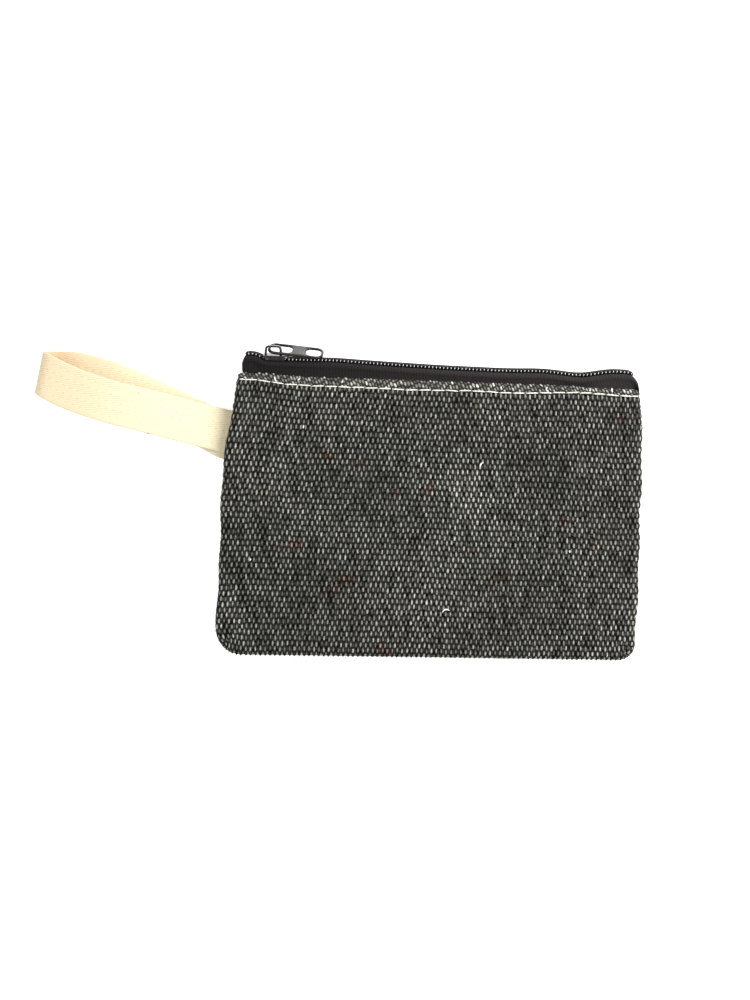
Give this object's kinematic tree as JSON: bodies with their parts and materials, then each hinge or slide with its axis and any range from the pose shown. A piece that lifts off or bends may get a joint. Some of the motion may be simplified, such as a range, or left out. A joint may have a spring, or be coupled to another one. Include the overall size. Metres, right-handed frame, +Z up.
{
  "type": "zippered pouch",
  "caption": "Small flat rectangular canvas pouch with a zipper along its mouth, a metal slider with a pull tab, and a cotton wrist loop sewn into one side seam.",
  "frame": {"origin": "middle of the whole object's box, on the surface that the pouch lies on", "axes": "+X along the zipper, from the closed slider towards the open end; +Y from the bottom edge to the mouth; +Z up through the thickness, out of the front panel"},
  "size_m": [0.2132, 0.109, 0.0114],
  "materials": {
    "canvas": "coarse black cotton canvas with pale warp floats, matte",
    "tape": "black woven polyester zipper tape, matte",
    "coil": "black nylon coil with grey stitching",
    "metal": "gunmetal plated die-cast metal, glossy with worn edges",
    "thread": "natural white cotton sewing thread",
    "webbing": "unbleached cotton herringbone tape with seed flecks"
  },
  "bodies": {
    "root": {"back_panel": "canvas", "left_seam": "canvas", "right_seam": "canvas", "bottom_seam": "canvas", "back_topstitch": "thread", "back_tape": "tape", "back_tape_lap": "tape", "back_coil": "coil", "left_zipper_end": "tape", "right_zipper_end": "tape", "loop_tail": "webbing"},
    "front": {"front_panel": "canvas", "front_topstitch": "thread", "front_tape": "tape", "front_coil": "coil"},
    "slider": {"slider_body": "metal"},
    "pull": {"pull_tab": "metal"},
    "loop": {"wrist_loop": "webbing"}
  },
  "joints": [
    {"name": "slider_travel", "type": "slide", "parent": "root", "child": "slider", "axis": [1, 0, 0], "range_m": [0, 0.112]},
    {"name": "mouth_open", "type": "hinge", "parent": "root", "child": "front", "pos_m": [0.03359, -0.05237, 0.00375], "axis": [0.9994, 0.0333, 0], "range_deg": [0, 9], "deforming": ["front_tape", "front_coil"]},
    {"name": "tab_flip", "type": "hinge", "parent": "slider", "child": "pull", "pos_m": [-0.02491, 0.05145, 0.00741], "axis": [-0.0698, -0.5578, 0.827], "range_deg": [0, 140]},
    {"name": "loop_swing", "type": "hinge", "parent": "root", "child": "loop", "pos_m": [-0.03901, 0.02203, 0.00395], "axis": [0.09, 0.9959, 0], "range_deg": [0, 88]}
  ],
  "couplings": [
    {"joint": "mouth_open", "follows": "slider_travel", "rad_per_m": 1.4}
  ]
}
